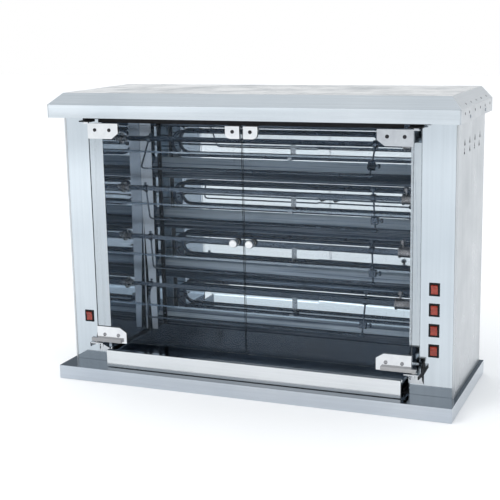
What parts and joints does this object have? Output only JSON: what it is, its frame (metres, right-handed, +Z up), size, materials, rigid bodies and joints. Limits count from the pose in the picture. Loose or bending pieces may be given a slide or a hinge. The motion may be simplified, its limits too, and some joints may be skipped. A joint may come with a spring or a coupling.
{
  "type": "electric skewer grill",
  "caption": "Upright stainless steel electric skewer grill with glass doors, horizontal driven skewers before tubular heaters, rocker switches and a sliding drip tray.",
  "frame": {"origin": "middle of the footprint on the floor", "axes": "+X to the right seen from the front, +Y to the back, +Z up; the doors face -Y"},
  "size_m": [1.0624, 0.402, 0.751],
  "materials": {
    "plinth_steel": "polished",
    "cabinet_steel": "polished",
    "pillar_steel": "mirror polished",
    "chamber_mirror": "mirror polished",
    "chamber_steel": "satin",
    "baffle_steel": "polished",
    "black_steel": "satin",
    "magnet_plastic": "matt",
    "hardware_chrome": "polished",
    "heater_sheath": "dark oxide",
    "heater_ceramic": "matt",
    "clip_steel": "satin",
    "bush_steel": "satin",
    "skewer_steel": "satin",
    "drive_steel": "oiled",
    "motor_casting": "as cast",
    "switch_black": "gloss",
    "rocker_red": "translucent gloss",
    "terminal_ceramic": "matt",
    "gland_plastic": "matt",
    "wire_sleeve": "matt",
    "door_glass": "clear, slightly tinted"
  },
  "bodies": {
    "cabinet": {"base_plinth": "plinth_steel", "left_side_panel": "cabinet_steel", "right_side_panel": "cabinet_steel", "back_cover": "cabinet_steel", "roof_cap": "cabinet_steel", "left_front_pillar": "pillar_steel", "right_front_pillar": "pillar_steel", "left_inner_wall": "chamber_mirror", "right_inner_wall": "chamber_mirror", "inner_back_wall": "chamber_mirror", "corner_strips": "chamber_mirror", "chamber_ceiling": "chamber_steel", "roof_soffit": "chamber_steel", "tray_runners": "chamber_steel", "reflector_baffles": "baffle_steel", "door_header_rail": "black_steel", "heater_post": "black_steel", "door_pivot_brackets": "black_steel", "door_magnets": "magnet_plastic", "heater_tier_1": "heater_sheath", "heater_tier_2": "heater_sheath", "heater_tier_3": "heater_sheath", "heater_tier_4": "heater_sheath", "heater_terminals": "heater_ceramic", "heater_clips": "clip_steel", "panel_screws": "clip_steel", "spit_bushes": "bush_steel", "drive_bearings": "bush_steel", "drive_chain": "drive_steel", "gear_motor": "motor_casting", "switch_housings": "switch_black", "terminal_block": "terminal_ceramic", "cable_gland": "gland_plastic", "wiring_loom": "wire_sleeve"},
    "left_door": {"left_door_glass": "door_glass", "left_door_fittings": "hardware_chrome", "left_door_knob": "hardware_chrome"},
    "right_door": {"right_door_glass": "door_glass", "right_door_fittings": "hardware_chrome", "right_door_knob": "hardware_chrome"},
    "tray": {"tray_pan": "chamber_steel", "tray_front": "cabinet_steel"},
    "motor_drive": {"motor_sprocket": "drive_steel"},
    "motor_switch": {"motor_rocker": "rocker_red"},
    "skewer_1": {"spit_bar_1": "skewer_steel", "spit_cage_1": "skewer_steel", "drive_shaft_1": "drive_steel"},
    "heater_switch_1": {"heater_rocker_1": "rocker_red"},
    "skewer_2": {"spit_bar_2": "skewer_steel", "spit_cage_2": "skewer_steel", "drive_shaft_2": "drive_steel"},
    "heater_switch_2": {"heater_rocker_2": "rocker_red"},
    "skewer_3": {"spit_bar_3": "skewer_steel", "spit_cage_3": "skewer_steel", "drive_shaft_3": "drive_steel"},
    "heater_switch_3": {"heater_rocker_3": "rocker_red"},
    "skewer_4": {"spit_bar_4": "skewer_steel", "spit_cage_4": "skewer_steel", "drive_shaft_4": "drive_steel"},
    "heater_switch_4": {"heater_rocker_4": "rocker_red"}
  },
  "joints": [
    {"name": "left_door_hinge", "type": "hinge", "parent": "cabinet", "child": "left_door", "pos_m": [-0.426, -0.168, 0.3], "axis": [0, 0, -1], "range_deg": [0, 115]},
    {"name": "right_door_hinge", "type": "hinge", "parent": "cabinet", "child": "right_door", "pos_m": [0.426, -0.168, 0.3], "axis": [0, 0, 1], "range_deg": [0, 115]},
    {"name": "tray_slide", "type": "slide", "parent": "cabinet", "child": "tray", "axis": [0, -1, 0], "range_m": [0, 0.26]},
    {"name": "skewer_1_spin", "type": "hinge", "parent": "cabinet", "child": "skewer_1", "pos_m": [0, -0.024, 0.624], "axis": [1, 0, 0], "continuous": true},
    {"name": "skewer_2_spin", "type": "hinge", "parent": "cabinet", "child": "skewer_2", "pos_m": [0, -0.024, 0.4925], "axis": [1, 0, 0], "continuous": true},
    {"name": "skewer_3_spin", "type": "hinge", "parent": "cabinet", "child": "skewer_3", "pos_m": [0, -0.024, 0.361], "axis": [1, 0, 0], "continuous": true},
    {"name": "skewer_4_spin", "type": "hinge", "parent": "cabinet", "child": "skewer_4", "pos_m": [0, -0.024, 0.2295], "axis": [1, 0, 0], "continuous": true},
    {"name": "motor_spin", "type": "hinge", "parent": "cabinet", "child": "motor_drive", "pos_m": [0.44, -0.024, 0.098], "axis": [1, 0, 0], "continuous": true},
    {"name": "heater_switch_1_rock", "type": "hinge", "parent": "cabinet", "child": "heater_switch_1", "pos_m": [0.464, -0.126, 0.2989], "axis": [-1, 0, 0], "range_deg": [0, 14]},
    {"name": "heater_switch_2_rock", "type": "hinge", "parent": "cabinet", "child": "heater_switch_2", "pos_m": [0.464, -0.126, 0.2489], "axis": [-1, 0, 0], "range_deg": [0, 14]},
    {"name": "heater_switch_3_rock", "type": "hinge", "parent": "cabinet", "child": "heater_switch_3", "pos_m": [0.464, -0.126, 0.1989], "axis": [-1, 0, 0], "range_deg": [0, 14]},
    {"name": "heater_switch_4_rock", "type": "hinge", "parent": "cabinet", "child": "heater_switch_4", "pos_m": [0.464, -0.126, 0.1489], "axis": [-1, 0, 0], "range_deg": [0, 14]},
    {"name": "motor_switch_rock", "type": "hinge", "parent": "cabinet", "child": "motor_switch", "pos_m": [-0.4685, -0.126, 0.1575], "axis": [-1, 0, 0], "range_deg": [0, 14]}
  ],
  "couplings": [
    {"joint": "skewer_2_spin", "follows": "skewer_1_spin", "ratio": 1},
    {"joint": "skewer_3_spin", "follows": "skewer_1_spin", "ratio": 1},
    {"joint": "skewer_4_spin", "follows": "skewer_1_spin", "ratio": 1},
    {"joint": "motor_spin", "follows": "skewer_1_spin", "ratio": 1}
  ]
}
